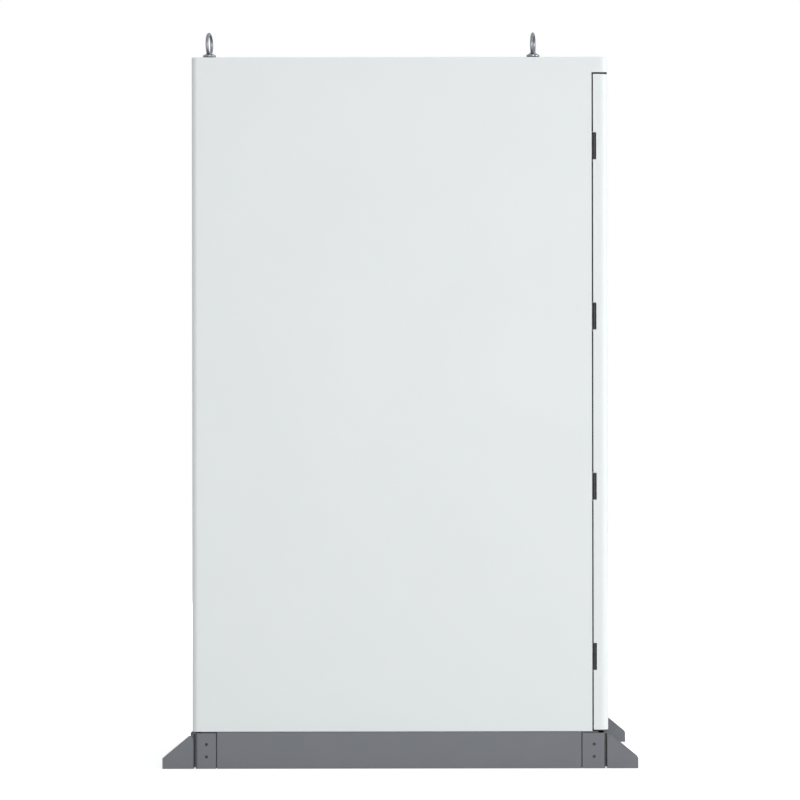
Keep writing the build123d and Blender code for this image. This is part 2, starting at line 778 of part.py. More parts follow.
with BuildPart() as compressor:
    with Locations((-130, y_skin + 56, cooler_middle + cooler_wall / 2)):
        Cylinder(50, 200, align=(Align.CENTER, Align.CENTER, Align.MIN))
    chamfer(compressor.faces().sort_by(Axis.Z)[-1].edges(), length=14)
keep(compressor, "compressor")

fan_shaft = 4.0
fan_places = {
    "fan_rotor_outer": (cooler_middle - fan_drop, y_skin + 60),
    "fan_rotor_inner": (cooler_middle + fan_drop, y_cooler - cooler_wall - 4 - fan_depth),
}
with BuildPart() as fan_mounts:
    for z, y in (fan_places["fan_rotor_outer"], fan_places["fan_rotor_inner"]):
        y_arm = y - 8 if z > cooler_middle else y + fan_depth + 2
        with Locations((0, y_arm + 3, z)):
            Box(cooler_size[0] - 2 * cooler_wall, 6, 16)
        bar_y(0, z, 30, y_arm, y_arm + 6)
        bar_y(0, z, fan_shaft, y_arm, y + 22 if z > cooler_middle else y + 12)
keep(fan_mounts, "fan_mounts")


blade_thickness = 3.0
blade_sections = (
    # distance from the axis, pitch in degrees, chord
    (fan_hub_radius - 4, 38, 40),
    ((fan_hub_radius + fan_radius) / 2, 28, 60),
    (fan_radius - 3, 20, 72),
)


def fan_rotor(name, z, y):
    """Axial fan wheel with pitched blades, its shaft along Y."""
    with BuildPart() as rotor:
        bar_y(0, z, fan_hub_radius, y, y + fan_depth)
        for i in range(fan_blades):
            turned = Location((0, y + fan_depth / 2, z), (0, i * 360 / fan_blades, 0))
            for reach, pitch, chord in blade_sections:
                section = turned * Location((reach, 0, 0), (pitch, 0, 0)) * Location((0, 0, 0), (0, 90, 0))
                with BuildSketch(Plane(section)):
                    Rectangle(chord, blade_thickness)
            loft(ruled=True)
        bar_y(0, z, fan_shaft + running, y - 10, y + fan_depth + 10, Mode.SUBTRACT)
    keep(rotor, name)


for rotor_name, (rotor_z, rotor_y) in fan_places.items():
    fan_rotor(rotor_name, rotor_z, rotor_y)

# ==== battery rack ======================================================================================
rack_x = rack_width / 2
rack_rear = rack_front + rack_length
with BuildPart() as rack_frame:
    for sx in (-1, 1):
        for y, turn in ((rack_front, 1), (rack_rear, -1)):
            with Locations((sx * (rack_x - rack_angle / 2), y + turn * rack_sheet / 2, (z_floor + rack_top) / 2)):
                Box(rack_angle, rack_sheet, rack_top - z_floor)
            with Locations((sx * (rack_x - rack_sheet / 2), y + turn * rack_angle / 2, (z_floor + rack_top) / 2)):
                Box(rack_sheet, rack_angle, rack_top - z_floor)
    hole_rows = int((rack_top - module_base) // rack_hole_pitch)
    for sx in (-1, 1):
        with Locations((sx * (rack_x - rack_angle / 2), rack_front, (module_base + rack_top) / 2)):
            with Locations(Location((0, 0, 0), (90, 0, 0))):
                with GridLocations(0, rack_hole_pitch, 1, hole_rows):
                    Box(rack_hole, rack_hole, 8, mode=Mode.SUBTRACT)
    with Locations((0, rack_front + rack_length / 2, rack_top + 10)):
        Box(rack_width, rack_length, 20)
        Box(rack_width - 80, rack_length - 80, 20, mode=Mode.SUBTRACT)
keep(rack_frame, "rack_frame")

module_floors = [module_base + i * module_pitch for i in range(module_count)]
control_floor = module_base + module_count * module_pitch + 8
runner_x = rack_x - rack_sheet
with BuildPart() as rack_runners:
    for z in module_floors + [control_floor]:
        for sx in (-1, 1):
            with Locations((sx * (runner_x - 27.5), rack_front + rack_length / 2, z - rack_sheet / 2)):
                Box(55, rack_length - 2 * rack_sheet, rack_sheet)
            with Locations((sx * (runner_x - rack_sheet / 2), rack_front + rack_length / 2, z + 12)):
                Box(rack_sheet, rack_length - 2 * rack_sheet, 30)
keep(rack_runners, "rack_runners")

case_width = module_size[0] - 2
with BuildPart() as battery_modules:
    for z in module_floors:
        with Locations((0, rack_front, z)):
            Box(
                case_width,
                module_size[1],
                module_size[2],
                align=(Align.CENTER, Align.MIN, Align.MIN),
            )
keep(battery_modules, "battery_modules")

y_fascia = rack_front - module_fascia
post_x = case_width / 2 - terminal_inset
slot_count = 8
slot_pitch = 26.0
slot_width = 5.0
slot_height = 90.0
handle_apart = 150.0
handle_length = 110.0
handle_reach = 26.0
handle_bar = 10.0
handle_bevel = 10.0
with BuildPart() as module_fascias:
    for z in module_floors:
        with Locations((0, rack_front, z)):
            Box(
                rack_width - 4,
                module_fascia,
                module_size[2],
                align=(Align.CENTER, Align.MAX, Align.MIN),
            )
        with Locations((0, rack_front, z + module_size[2] / 2)):
            with GridLocations(slot_pitch, 0, slot_count, 1):
                Box(slot_width, 4 * module_fascia, slot_height, mode=Mode.SUBTRACT)
keep(module_fascias, "module_fascias")

with BuildPart() as module_terminals:
    for z in module_floors:
        for sx in (-1, 1):
            middle = z + module_size[2] / 2
            with BuildSketch(Plane.XZ.offset(-y_fascia)):
                with Locations((sx * post_x, middle)):
                    RegularPolygon(terminal_radius, 6)
            extrude(amount=terminal_length)
            with Locations((sx * post_x, y_fascia, middle)):
                Box(40, 6, 40, align=(Align.CENTER, Align.MAX, Align.CENTER))
keep(module_terminals, "module_terminals")

with BuildPart() as module_handles:
    for z in module_floors:
        for sx in (-1, 1):
            low = z + (module_size[2] - handle_length) / 2
            with BuildSketch(Plane.YZ.offset(sx * handle_apart)):
                with BuildLine():
                    Polyline(
                        (y_fascia, low),
                        (y_fascia - handle_reach + handle_bevel, low),
                        (y_fascia - handle_reach, low + handle_bevel),
                        (y_fascia - handle_reach, low + handle_length - handle_bevel),
                        (y_fascia - handle_reach + handle_bevel, low + handle_length),
                        (y_fascia, low + handle_length),
                    )
                    offset(amount=handle_bar - 2, side=Side.RIGHT)
                make_face()
            extrude(amount=handle_bar / 2, both=True)
keep(module_handles, "module_handles")

y_link = y_fascia - terminal_length - 5
link_reach = 80.0
link_bend = 40.0
link_width = 10.0
with BuildPart() as series_links:
    for i in range(module_count - 1):
        sx = 1 if i % 2 == 0 else -1
        z = module_floors[i] + module_size[2] / 2
        # a braided strap bowed out to the side, with a lug on each terminal
        near = sx * (post_x + terminal_radius)
        far = sx * (post_x + link_reach)
        with BuildSketch(Plane.XZ.offset(-y_link)):
            with BuildLine():
                Polyline(
                    (near, z),
                    (far - sx * link_bend, z),
                    (far, z + link_bend),
                    (far, z + module_pitch - link_bend),
                    (far - sx * link_bend, z + module_pitch),
                    (near, z + module_pitch),
                )
                offset(amount=link_width, side=Side.RIGHT if sx < 0 else Side.LEFT)
            make_face()
        extrude(amount=link_width / 2, both=True)
        for end in (z, z + module_pitch):
            with Locations((sx * (post_x + 3), y_link, end)):
                Box(26, 10, 20)
keep(series_links, "series_links")

# ==== control unit ======================================================================================
control_depth = 420.0
control_middle = control_floor + control_height / 2
with BuildPart() as control_case:
    with Locations((0, rack_front, control_floor)):
        Box(
            case_width,
            control_depth,
            control_height,
            align=(Align.CENTER, Align.MIN, Align.MIN),
        )
keep(control_case, "control_case")

isolator_x = -220.0
breaker_x = (-90.0, 20.0)
button_x = 150.0
control_shaft = 5.0
toggle_hub = 8.0
toggle_angle = 25.0  # either side of straight out
y_toggle = y_fascia - breaker_size[1] + toggle_hub + 2
with BuildPart() as control_fascia:
    with Locations((0, rack_front, control_floor)):
        Box(
            rack_width - 4,
            module_fascia,
            control_height,
            align=(Align.CENTER, Align.MAX, Align.MIN),
        )
    bar_y(isolator_x, control_middle, 30, y_fascia - 3, y_fascia)
    bar_y(isolator_x, control_middle, control_shaft, y_fascia - 14, y_fascia)
    bar_y(button_x, control_middle, 15, y_fascia - 12, y_fascia)
    bar_y(button_x, control_middle, button_radius + running, y_fascia - 20, y_fascia, Mode.SUBTRACT)
keep(control_fascia, "control_fascia")

with BuildPart() as breaker_cases:
    for x in breaker_x:
        with Locations((x, y_fascia, control_middle)):
            Box(*breaker_size, align=(Align.CENTER, Align.MAX, Align.CENTER))
            Box(
                toggle_size[0] + 1,
                2 * breaker_size[1],
                2 * toggle_hub + 14,
                align=(Align.CENTER, Align.CENTER, Align.CENTER),
                mode=Mode.SUBTRACT,
            )
        with Locations((x, y_fascia, control_middle)):
            Box(breaker_size[0], 8, breaker_size[2], align=(Align.CENTER, Align.MAX, Align.CENTER))
        with Locations(Location((x, y_toggle, control_middle), (0, 90, 0))):
            Cylinder(2.5, toggle_size[0] + 4)
keep(breaker_cases, "breaker_cases")


def toggle(name, x):
    """Breaker lever on a cross pin, standing up in its on position."""
    with BuildPart() as lever:
        with Locations(Location((x, y_toggle, control_middle), (0, 90, 0))):
            Cylinder(toggle_hub, toggle_size[0])
        with Locations(Location((x, y_toggle, control_middle), (-toggle_angle, 0, 0))):
            with Locations((0, -toggle_hub - toggle_size[2] / 2 + 2, 0)):
                Box(toggle_size[0], toggle_size[2] + 4, 6)
        with Locations(Location((x, y_toggle, control_middle), (0, 90, 0))):
            Cylinder(2.5 + running, 60, mode=Mode.SUBTRACT)
    keep(lever, name)


toggle("breaker_toggle_main", breaker_x[0])
toggle("breaker_toggle_aux", breaker_x[1])

with BuildPart() as isolator_knob:
    bar_y(isolator_x, control_middle, isolator_radius, y_fascia - 4 - isolator_length, y_fascia - 4)
    with Locations((isolator_x, y_fascia - 4 - isolator_length, control_middle)):
        Box(10, 8, 2 * isolator_radius, align=(Align.CENTER, Align.MAX, Align.CENTER))
    bar_y(isolator_x, control_middle, control_shaft + running, y_fascia - 14.5, y_fascia, Mode.SUBTRACT)
keep(isolator_knob, "isolator_knob")

button_gap = 1.0
with BuildPart() as start_button:
    bar_y(
        button_x,
        control_middle,
        button_radius,
        y_fascia - 12 - button_travel - 2,
        y_fascia - button_travel - button_gap,
    )
keep(start_button, "start_button")

# ==== wiring and fittings ===============================================================================
with BuildPart() as cable_duct:
    duct_top = rack_top - 40
    with Locations((-(inner_x - 70), rack_front + 60, (z_floor + duct_top) / 2)):
        Box(40, 60, duct_top - z_floor)
        Box(36, 56, duct_top - z_floor, mode=Mode.SUBTRACT)
keep(cable_duct, "cable_duct")

earth_x = rack_x - 70
earth_y = y_rear - 115
with BuildPart() as earth_bar:
    with Locations((earth_x, earth_y, z_floor + 20)):
        Box(180, 6, 30)
    for x in (earth_x - 75, earth_x + 75):
        with Locations((x, earth_y, z_floor)):
            Box(12, 20, 6, align=(Align.CENTER, Align.CENTER, Align.MIN))
    with BuildSketch(Plane.XZ.offset(3 - earth_y)):
        with Locations((earth_x, z_floor + 22)):
            with GridLocations(24, 0, 6, 1):
                RegularPolygon(6, 6)
    extrude(amount=5)
keep(earth_bar, "earth_bar")

with BuildPart() as lamp:
    with Locations((0, inner_front + post / 2, z_bar)):
        Box(300, 26, 22, align=(Align.CENTER, Align.CENTER, Align.MAX))
keep(lamp, "lamp")

with BuildPart() as smoke_detector:
    with BuildSketch(Plane.XY.offset(z_roof_under - insulation)):
        with Locations((0, 120)):
            RegularPolygon(50, 24)
    extrude(amount=-14)
    with BuildSketch(Plane.XY.offset(z_roof_under - insulation - 14)):
        with Locations((0, 120)):
            RegularPolygon(42, 24)
    extrude(amount=-24, taper=25)
keep(smoke_detector, "smoke_detector")

with BuildPart() as door_sensor:
    with Locations((handle_x - 70, y_body + sheet, opening_top + 12)):
        Box(60, 14, 16, align=(Align.CENTER, Align.MIN, Align.CENTER))
keep(door_sensor, "door_sensor")

with BuildPart() as sensor_magnet:
    with Locations((handle_x - 70, y_stiffener, opening_top - 26)):
        Box(40, 24, 14, align=(Align.CENTER, Align.MIN, Align.CENTER))
keep(sensor_magnet, "sensor_magnet")
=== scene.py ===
import json
import math

import bmesh
import bpy
from mathutils import Euler, Matrix, Vector


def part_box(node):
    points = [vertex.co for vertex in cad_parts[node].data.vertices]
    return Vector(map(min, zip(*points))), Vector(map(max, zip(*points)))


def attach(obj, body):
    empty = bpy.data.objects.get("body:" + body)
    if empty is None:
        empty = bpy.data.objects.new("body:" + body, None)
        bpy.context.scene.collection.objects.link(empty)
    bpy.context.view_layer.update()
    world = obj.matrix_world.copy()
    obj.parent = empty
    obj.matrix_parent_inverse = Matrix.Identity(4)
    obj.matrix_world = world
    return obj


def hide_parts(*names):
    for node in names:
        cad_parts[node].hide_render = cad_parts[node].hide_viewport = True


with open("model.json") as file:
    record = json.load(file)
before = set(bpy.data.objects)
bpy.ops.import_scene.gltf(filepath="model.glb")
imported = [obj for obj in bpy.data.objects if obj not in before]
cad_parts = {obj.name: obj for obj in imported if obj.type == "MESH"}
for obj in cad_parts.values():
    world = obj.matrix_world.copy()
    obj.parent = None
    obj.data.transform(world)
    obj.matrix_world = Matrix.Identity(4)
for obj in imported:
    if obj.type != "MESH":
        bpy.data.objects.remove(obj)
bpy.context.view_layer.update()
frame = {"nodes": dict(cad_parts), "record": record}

MM = 0.001
white = (1, 1, 1, 1)
upwards = (0, 0, 1)
downwards = (0, 0, -1)
doorwards = (0, -1, 0)
left_and_right = (-1, 1)

# ---- camera: a long lens square to the hinge side, its axis low and towards the door ----
camera_place = (-9.307, -0.2453, 0.8516)
camera_roll = -0.00144
sensor_mm = 36.0
lens_mm = 141.8
lens_shift = (-0.109, 0.0819)
sight_limit = 100.0


def place_camera():
    data = bpy.data.cameras.new("camera")
    data.sensor_width = sensor_mm
    data.lens = lens_mm
    data.shift_x, data.shift_y = lens_shift
    data.clip_end = sight_limit
    camera = bpy.data.objects.new("camera", data)
    bpy.context.scene.collection.objects.link(camera)
    camera.location = camera_place
    roll = Matrix.Rotation(camera_roll, 3, "Z")
    look = Euler((math.pi / 2, 0, -math.pi / 2)).to_matrix() @ roll
    camera.rotation_euler = look.to_euler()
    bpy.context.scene.camera = camera


place_camera()

# ---- materials ----
# paint, plastics, rubber and glass
dielectric_ior = 1.5
# a Mix node's sockets, for colours and for numbers: the first, the second and the result
mix_colours = (6, 7, 2)
mix_numbers = (2, 3, 0)


def linear(hex_colour):
    """sRGB hex to linear RGBA, by the standard's own curve."""
    channels = [int(hex_colour[i:i + 2], 16) / 255 for i in (1, 3, 5)]
    return [c / 12.92 if c <= 0.04045 else ((c + 0.055) / 1.055) ** 2.4 for c in channels] + [1.0]


def add_node(tree, kind, settings=None, inputs=None):
    """Adds one node, sets it, and fills or links its inputs."""
    node = tree.nodes.new(kind)
    for name, value in (settings or {}).items():
        setattr(node, name, value)
    for name, value in (inputs or {}).items():
        if isinstance(value, bpy.types.NodeSocket):
            tree.links.new(value, node.inputs[name])
        else:
            node.inputs[name].default_value = value
    return node


def per_metre(size_mm):
    """Noise scale whose features are about this size."""
    return 1.0 / (size_mm * MM)


def finish(name, colour, shade, patches_mm, roughness, rough_spread, grain_mm, grain_depth_mm,
           metallic=0.0, stretch=(1, 1, 1), coat=0.0, spangle=False):
    """A surface with soft colour patches or flakes, an uneven gloss and a fine relief."""
    material = bpy.data.materials.new(name)
    material.use_nodes = True
    tree = material.node_tree
    shader = tree.nodes["Principled BSDF"]
    place = add_node(tree, "ShaderNodeTexCoord").outputs["Object"]
    place = add_node(tree, "ShaderNodeMapping", inputs={"Vector": place, "Scale": stretch}).outputs["Vector"]
    if spangle:
        flakes = add_node(tree, "ShaderNodeTexVoronoi", {"feature": "F1"},
                          {"Vector": place, "Scale": per_metre(patches_mm)}).outputs["Color"]
        patches = add_node(tree, "ShaderNodeSeparateColor", inputs={"Color": flakes}).outputs["Red"]
    else:
        patches = add_node(tree, "ShaderNodeTexNoise", {"noise_dimensions": "3D"},
                           {"Vector": place, "Scale": per_metre(patches_mm), "Detail": 3.0}).outputs["Fac"]
    first, second, result = mix_colours
    tint = add_node(tree, "ShaderNodeMix", {"data_type": "RGBA"},
                    {"Factor": patches, first: linear(colour), second: linear(shade)}).outputs[result]
    gloss = add_node(tree, "ShaderNodeMapRange", inputs={
        "Value": patches, "To Min": roughness - rough_spread,
        "To Max": roughness + rough_spread}).outputs["Result"]
    grain = add_node(tree, "ShaderNodeTexNoise", inputs={
        "Vector": place, "Scale": per_metre(grain_mm), "Detail": 2.0}).outputs["Fac"]
    relief = add_node(tree, "ShaderNodeBump", inputs={
        "Height": grain, "Distance": grain_depth_mm * MM, "Strength": 1.0}).outputs["Normal"]
    for socket, source in (("Base Color", tint), ("Roughness", gloss), ("Normal", relief)):
        tree.links.new(source, shader.inputs[socket])
    shader.inputs["Metallic"].default_value = metallic
    if not metallic:
        shader.inputs["IOR"].default_value = dielectric_ior
    shader.inputs["Coat Weight"].default_value = coat
    return material


# polyester powder coat on sheet steel: light grey, satin, with a faint orange peel
body_paint = finish(
    "light_grey_powder_coat", "#E3E8E9", "#E1E6E7", patches_mm=240,
    roughness=0.42, rough_spread=0.03, grain_mm=5, grain_depth_mm=0.010)
# the same coat in mid grey on the plinth and brackets, a little duller
plinth_paint = finish(
    "mid_grey_powder_coat", "#6B6E73", "#686B70", patches_mm=90,
    roughness=0.5, rough_spread=0.04, grain_mm=4, grain_depth_mm=0.02)
# black powder coat on hinges and handle: satin with a fine grain
black_coat = finish(
    "black_powder_coat", "#141415", "#19191B", patches_mm=40,
    roughness=0.45, rough_spread=0.05, grain_mm=1.5, grain_depth_mm=0.02)
# bright zinc plate on bolts and eyebolts, gone a little dull: a soft grey shine, slightly clouded
zinc = finish(
    "bright_zinc_plate", "#8D9096", "#7E8187", patches_mm=18,
    roughness=0.34, rough_spread=0.05, grain_mm=6, grain_depth_mm=0.01, metallic=1.0)
# hot-dip galvanised sheet: frosted flakes about 12 mm across
galvanised = finish(
    "galvanised_sheet", "#B4B9BC", "#9CA2A6", patches_mm=12,
    roughness=0.42, rough_spread=0.08, grain_mm=5, grain_depth_mm=0.01, metallic=1.0, spangle=True)
# mill-finish aluminium: dull sheen with faint rolling lines, drawn out twenty times along X
aluminium = finish(
    "mill_aluminium", "#C9CBCD", "#B9BCBF", patches_mm=60,
    roughness=0.38, rough_spread=0.05, grain_mm=1.2, grain_depth_mm=0.01, metallic=1.0,
    stretch=(0.05, 1, 1))
# closed-cell foam board: charcoal skin with open pores
foam = finish(
    "closed_cell_foam", "#2E2F31", "#3A3B3D", patches_mm=25,
    roughness=0.9, rough_spread=0.04, grain_mm=3, grain_depth_mm=0.35)
# extruded EPDM rubber: matt black
rubber = finish(
    "epdm_rubber", "#161616", "#1E1E1E", patches_mm=15,
    roughness=0.72, rough_spread=0.05, grain_mm=2, grain_depth_mm=0.03)
# moulded ABS in black and in light grey: half dull, with a fine spark-eroded grain
black_plastic = finish(
    "black_abs", "#1B1B1D", "#222224", patches_mm=40,
    roughness=0.5, rough_spread=0.04, grain_mm=1.5, grain_depth_mm=0.03)
grey_plastic = finish(
    "grey_abs", "#A9ACAD", "#A1A4A6", patches_mm=50,
    roughness=0.48, rough_spread=0.03, grain_mm=1.5, grain_depth_mm=0.02)
# powder coat on the battery modules: coarse and dull on the cases, smoother and paler on the fronts
case_paint = finish(
    "charcoal_powder_coat", "#3C3F42", "#424548", patches_mm=60,
    roughness=0.55, rough_spread=0.04, grain_mm=2.5, grain_depth_mm=0.05)
front_paint = finish(
    "grey_powder_coat", "#7E8285", "#85898C", patches_mm=80,
    roughness=0.45, rough_spread=0.03, grain_mm=3, grain_depth_mm=0.02)
# tinned copper: warm metal with a grey cast
copper = finish(
    "tinned_copper", "#C98B62", "#B9805E", patches_mm=12,
    roughness=0.28, rough_spread=0.06, grain_mm=2, grain_depth_mm=0.01, metallic=1.0)
# extruded cable sheath of cross-linked polymer: satin orange, the colour for high voltage
sheath = finish(
    "orange_cable_sheath", "#D9601A", "#CF5817", patches_mm=30,
    roughness=0.45, rough_spread=0.04, grain_mm=2, grain_depth_mm=0.02)
# moulded opal polycarbonate: milky white with a soft gloss
opal = finish(
    "opal_polycarbonate", "#E8EAE6", "#E0E2DF", patches_mm=40,
    roughness=0.3, rough_spread=0.03, grain_mm=4, grain_depth_mm=0.01)
# moulded acrylic: glossy green
green_plastic = finish(
    "green_acrylic", "#1F8A3B", "#1B7C35", patches_mm=10,
    roughness=0.25, rough_spread=0.03, grain_mm=2, grain_depth_mm=0.01)
# moulded nylon: half-glossy red
red_plastic = finish(
    "red_nylon", "#B3201B", "#A51C18", patches_mm=20,
    roughness=0.35, rough_spread=0.04, grain_mm=2, grain_depth_mm=0.02)
# moulded ABS for the isolator's plate: satin signal yellow
yellow_plastic = finish(
    "yellow_abs", "#D9AE1E", "#CFA51B", patches_mm=30,
    roughness=0.42, rough_spread=0.03, grain_mm=2, grain_depth_mm=0.02)
# smoked glass over a display that is off: nearly black and mirror smooth
display_glass = finish(
    "smoked_glass", "#0B0D10", "#0F1216", patches_mm=50,
    roughness=0.08, rough_spread=0.02, grain_mm=20, grain_depth_mm=0.002, coat=0.4)

slot_finish = {
    "body_paint": body_paint, "plinth_paint": plinth_paint, "hinge_black": black_coat, "zinc": zinc,
    "galvanised": galvanised, "insulation": foam, "rubber": rubber, "black_plastic": black_plastic,
    "grey_plastic": grey_plastic, "module_case": case_paint, "module_front": front_paint,
    "copper": copper, "cable": sheath, "aluminium": aluminium, "lens": opal,
    "button_green": green_plastic, "knob_red": red_plastic,
}
node_slot = {s["node"]: s["material_slot"] for s in frame["record"]["subparts"]}
for name, obj in frame["nodes"].items():
    obj.data.materials.clear()
    obj.data.materials.append(slot_finish[node_slot[name]])

# ---- modelling helpers ----
turn_to = {"X": (0, math.pi / 2, 0), "Y": (math.pi / 2, 0, 0), "Z": (0, 0, 0)}
# a face looks along a direction where its normal has more than this share of it
face_on = 0.9
same_height = 1e-5
smooth_below = math.radians(35)


def deselect():
    if bpy.context.mode != "OBJECT":
        bpy.ops.object.mode_set(mode="OBJECT")
    bpy.ops.object.select_all(action="DESELECT")


def select(pieces):
    """Selects these pieces and nothing else, with the first one active."""
    deselect()
    for piece in pieces:
        piece.select_set(True)
    bpy.context.view_layer.objects.active = pieces[0]


def settle(name):
    """Names the active piece and puts its place, turn and size into its mesh."""
    piece = bpy.context.object
    piece.name = name
    bpy.ops.object.transform_apply(location=True, rotation=True, scale=True)
    return piece


def block(name, low, high):
    """A box between two corners."""
    deselect()
    middle = [(a + b) / 2 for a, b in zip(low, high)]
    size = [b - a for a, b in zip(low, high)]
    bpy.ops.mesh.primitive_cube_add(size=1, location=middle, scale=size)
    return settle(name)


def drum(name, middle, radius, length, axis, sides=32):
    """A round blank along one axis."""
    deselect()
    bpy.ops.mesh.primitive_cylinder_add(
        vertices=sides, radius=radius, depth=length, location=middle, rotation=turn_to[axis])
    return settle(name)


def ring(name, middle, radius, wire, turn, around=64, section=16):
    """A closed ring of round wire: radius is to the wire's middle line, and wire is its own radius."""
    deselect()
    bpy.ops.mesh.primitive_torus_add(
        location=middle, rotation=turn, major_radius=radius, minor_radius=wire,
        major_segments=around, minor_segments=section)
    return settle(name)


def pick(piece, wanted):
    """Goes into edit mode with only the faces that pass the test selected."""
    select([piece])
    bpy.ops.object.mode_set(mode="EDIT")
    bpy.ops.mesh.select_mode(type="FACE")
    bpy.ops.mesh.select_all(action="DESELECT")
    mesh = bmesh.from_edit_mesh(piece.data)
    for face in mesh.faces:
        face.select_set(bool(wanted(face.calc_center_median(), face.normal, face.calc_area())))
    bmesh.update_edit_mesh(piece.data)


def every_face(place, normal, area):
    return True


def end_face(piece, direction):
    """Test for the one face that lies farthest along a direction."""
    aim = Vector(direction)
    reach = max(vertex.co.dot(aim) for vertex in piece.data.vertices)
    return lambda place, normal, area: normal.dot(aim) > face_on and place.dot(aim) > reach - same_height


def step(piece, direction, narrower, longer=0.0):
    """Insets an end face and pushes it out, or in where longer is below nothing."""
    pick(piece, end_face(piece, direction))
    bpy.ops.mesh.inset(thickness=narrower, depth=0)
    if longer:
        bpy.ops.mesh.extrude_region_move(
            TRANSFORM_OT_translate={"value": [longer * c for c in direction]})
    deselect()


def soften(piece, width, segments=3, angle=30):
    """Rounds the edges that are sharper than an angle in degrees."""
    select([piece])
    rounding = piece.modifiers.new("rounding", "BEVEL")
    rounding.width = width
    rounding.segments = segments
    rounding.limit_method = "ANGLE"
    rounding.angle_limit = math.radians(angle)
    bpy.ops.object.modifier_apply(modifier=rounding.name)
    bpy.ops.object.shade_smooth_by_angle(angle=smooth_below)


def join(name, pieces):
    """Joins pieces into the first one and names it."""
    select(pieces)
    if len(pieces) > 1:
        bpy.ops.object.join()
    pieces[0].name = name
    return pieces[0]


def repeat(piece, moves, name):
    """Copies a piece by each move, drops the pattern and joins the copies."""
    copies = []
    for move in moves:
        select([piece])
        bpy.ops.object.duplicate(linked=False)
        bpy.ops.transform.translate(value=move)
        bpy.ops.object.transform_apply(location=True, rotation=True, scale=True)
        copies.append(bpy.context.object)
    bpy.data.objects.remove(piece)
    return join(name, copies)


def clad(piece, material):
    """Gives a piece one material all over."""
    piece.data.materials.clear()
    piece.data.materials.append(material)
    return piece


def dress(piece, body, material=None, stands_for=()):
    """Gives a piece its finish and its body, and hides the nodes that it stands for."""
    if material:
        clad(piece, material)
    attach(piece, body)
    if stands_for:
        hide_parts(*stands_for)


# ---- lifting eyebolts: forged rings turned a little, on a collar over a black sealing washer, whose black is partly painted shade for the dark under the collar ----
ring_radius = 0.0295
ring_wire = 0.0044
ring_turn = math.radians(-8)
ring_to_side = 0.034
collar_radius = 0.0185
collar_height = 0.0060
shade_washer_radius = 0.0178
shade_washer_height = 0.0025
shank_radius = 0.010
shank_length = 0.030
eye_low, eye_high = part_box("eyebolts")
roof_pad = eye_low[2] + shank_length
collar_middle = roof_pad + shade_washer_height + collar_height / 2
eye_ring = ring("eye_ring", (0, 0, eye_high[2] - ring_radius - ring_wire), ring_radius, ring_wire,
                (math.pi / 2, 0, ring_turn))
eye_collar = drum("eye_collar", (0, 0, collar_middle), collar_radius, collar_height, "Z", sides=48)
step(eye_collar, upwards, narrower=0.0055, longer=0.0032)
step(eye_collar, upwards, narrower=0.0045, longer=0.0040)
soften(eye_collar, width=0.0008, segments=2, angle=20)
# a black sealing washer; its black is partly painted shade, standing in for the dark under the collar
eye_shade_washer = drum("eye_shade_washer", (0, 0, roof_pad + shade_washer_height / 2), shade_washer_radius, shade_washer_height, "Z",
                  sides=48)
step(eye_shade_washer, downwards, narrower=0.002)
soften(eye_shade_washer, width=0.0005, segments=2)
eye_shank = drum("eye_shank", (0, 0, roof_pad - shank_length / 2), shank_radius, shank_length, "Z")
step(eye_shank, downwards, narrower=0.0015)
soften(eye_shank, width=0.0012, segments=2)
eyebolt = join("eyebolt", [clad(eye_ring, zinc), clad(eye_collar, zinc), clad(eye_shade_washer, rubber),
                           clad(eye_shank, zinc)])
eyebolt_places = [(sx * (eye_high[0] - ring_to_side), y, 0) for sx in left_and_right
                  for y in (eye_low[1] + collar_radius, eye_high[1] - collar_radius)]
dress(repeat(eyebolt, eyebolt_places, "forged_eyebolts"), "cabinet", stands_for=["eyebolts"])

# ---- bulb seal round the door ----
seal_width = 0.012
seal = block("bulb_seal", *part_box("door_gasket"))
pick(seal, lambda place, normal, area: abs(normal.y) > face_on)
bpy.ops.mesh.inset(thickness=seal_width)
bpy.ops.mesh.delete(type="FACE")
bpy.ops.mesh.select_mode(type="EDGE")
bpy.ops.mesh.select_all(action="DESELECT")
bpy.ops.mesh.select_non_manifold()
bpy.ops.mesh.bridge_edge_loops()
soften(seal, width=0.0045, segments=4, angle=60)
dress(seal, "door", rubber, stands_for=["door_gasket"])

# ---- foam lining boards: pressed borders and soft edges ----
lining_border = 0.018
press_slope = 0.003
press_depth = 0.002
# square metres: smaller faces are the boards' edges
body_board_area = 0.1
door_board_area = 0.05
# metres from the middle plane: the side boards' inner faces lie farther out than this
side_board_reach = 0.3


def lining(node, name, body, inward):
    """A merged copy of the boards, with a border pressed in on the faces that look inwards."""
    board = bpy.data.objects.new(name, frame["nodes"][node].data.copy())
    bpy.context.scene.collection.objects.link(board)
    pick(board, every_face)
    bpy.ops.mesh.remove_doubles(threshold=1e-5)
    bpy.ops.mesh.dissolve_limited(angle_limit=math.radians(1))
    pick(board, inward)
    bpy.ops.mesh.inset(thickness=lining_border, use_individual=True)
    bpy.ops.mesh.inset(thickness=press_slope, depth=-press_depth, use_individual=True)
    soften(board, width=0.0012, segments=2)
    dress(board, body, foam, stands_for=[node])


def inside_body(place, normal, area):
    """The large faces that look to the middle, to the door or down."""
    to_middle = normal.x * place.x < -side_board_reach
    return area > body_board_area and (to_middle or normal.y < -face_on or normal.z < -face_on)


def inside_door(place, normal, area):
    return area > door_board_area and normal.y > face_on


lining("body_insulation", "body_lining", "cabinet", inside_body)
lining("door_insulation", "door_lining", "door", inside_door)

# ---- series links: sheathed cables with moulded boots, one from each module to the next ----
module_pitch = 0.192
terminal_half = 0.020
cable_radius = 0.0046
boot_half = 0.010
boot_behind = 0.010
boot_before = 0.014
link_low, link_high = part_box("series_links")
link_y = (link_low[1] + link_high[1]) / 2
terminal_low, terminal_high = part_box("module_terminals")
terminal_x = terminal_high[0] - terminal_half
first_terminal = terminal_low[2] + terminal_half
link_count = round((terminal_high[2] - terminal_low[2] - 2 * terminal_half) / module_pitch)
